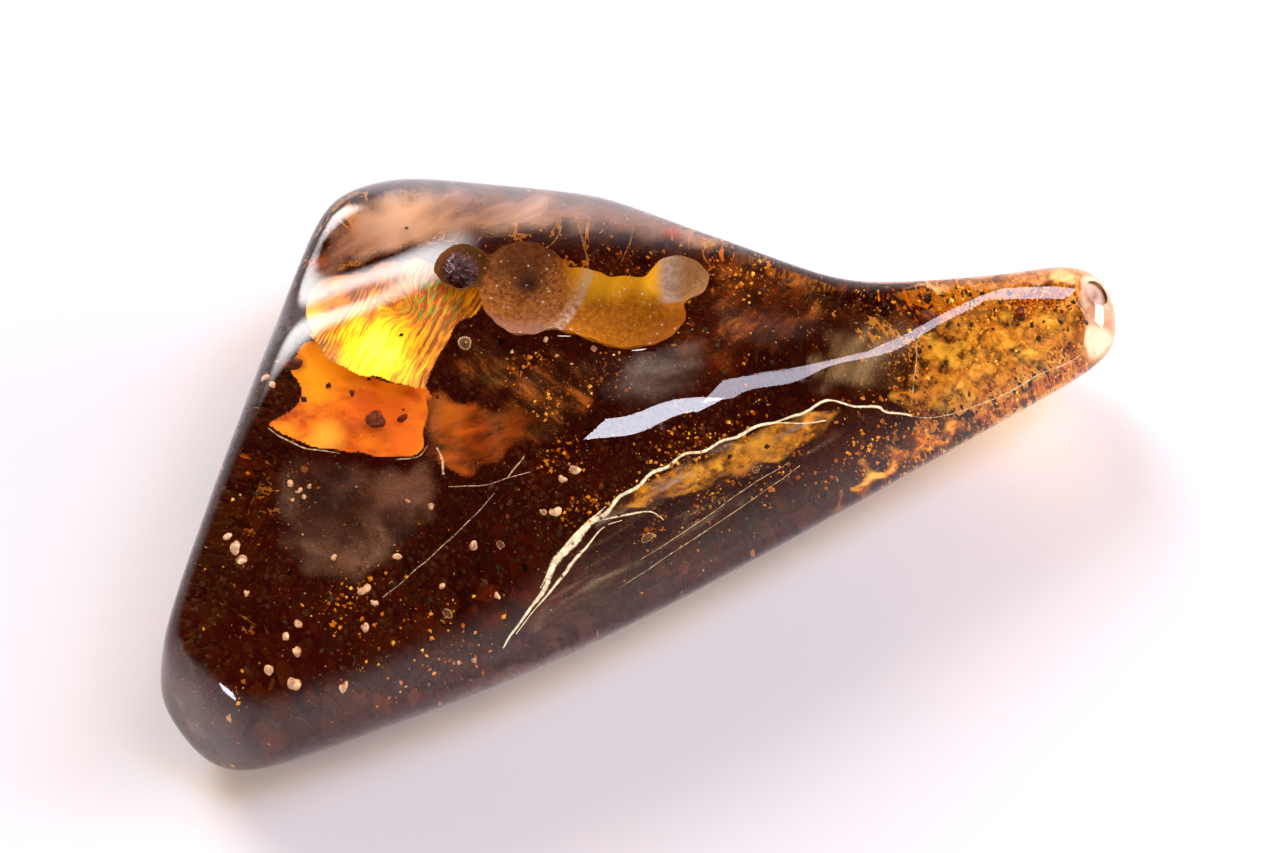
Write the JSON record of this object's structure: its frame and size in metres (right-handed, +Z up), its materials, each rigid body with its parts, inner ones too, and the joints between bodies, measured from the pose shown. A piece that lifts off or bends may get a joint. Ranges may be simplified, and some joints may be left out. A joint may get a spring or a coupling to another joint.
{
  "type": "amber pendant stone",
  "caption": "Polished freeform amber stone with a broad body, a drawn-out tail with a drilled cord hole, a natural hollow and a flat base.",
  "frame": {"origin": "centre of the bounding box, on the plane of the flat base that the stone lies on", "axes": "+Z up from the flat base, +X towards the drawn-out tail with the cord hole, +Y towards the back lobe"},
  "size_m": [0.0616, 0.0417, 0.0155],
  "materials": {
    "amber": "polished fossil resin, seen through, golden in thin places and red-brown to nearly black in thick ones",
    "mineral_grain": "dark purple-brown granular mineral with a dull metallic glint"
  },
  "bodies": {
    "root": {"amber": "amber", "mineral_grain": "mineral_grain"}
  },
  "joints": []
}
